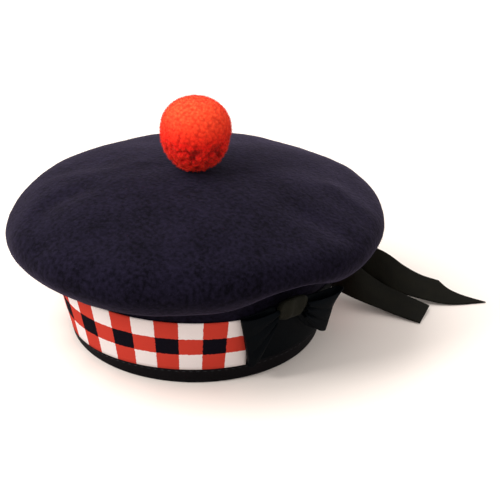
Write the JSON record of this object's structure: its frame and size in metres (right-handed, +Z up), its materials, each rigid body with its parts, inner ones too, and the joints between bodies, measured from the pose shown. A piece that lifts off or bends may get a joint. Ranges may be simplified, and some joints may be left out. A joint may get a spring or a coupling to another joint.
{
  "type": "balmoral bonnet",
  "caption": "Soft felted-wool bonnet with a wide round crown, diced headband, ribbon cockade and tails, and a wool pompom, worn on the head.",
  "frame": {"origin": "middle of the head opening, on the surface that the bonnet rests on", "axes": "+Z up through the crown, -Y towards the front, +X towards the wearer's left, where the cockade is"},
  "size_m": [0.2673, 0.3404, 0.1819],
  "materials": {
    "wool": "felted navy wool with a short nap",
    "dicing": "woven red, white and navy checks",
    "ribbon": "black ribbed ribbon with a faint sheen",
    "yarn": "clipped scarlet wool yarn"
  },
  "bodies": {
    "root": {"crown": "wool", "diced_border": "dicing", "binding": "ribbon", "cockade_base": "ribbon", "cockade_front_loop": "ribbon", "cockade_rear_loop": "ribbon", "cockade_knot": "ribbon", "tail_knot": "ribbon", "tail_near": "ribbon", "tail_far": "ribbon", "toorie": "yarn"}
  },
  "joints": []
}
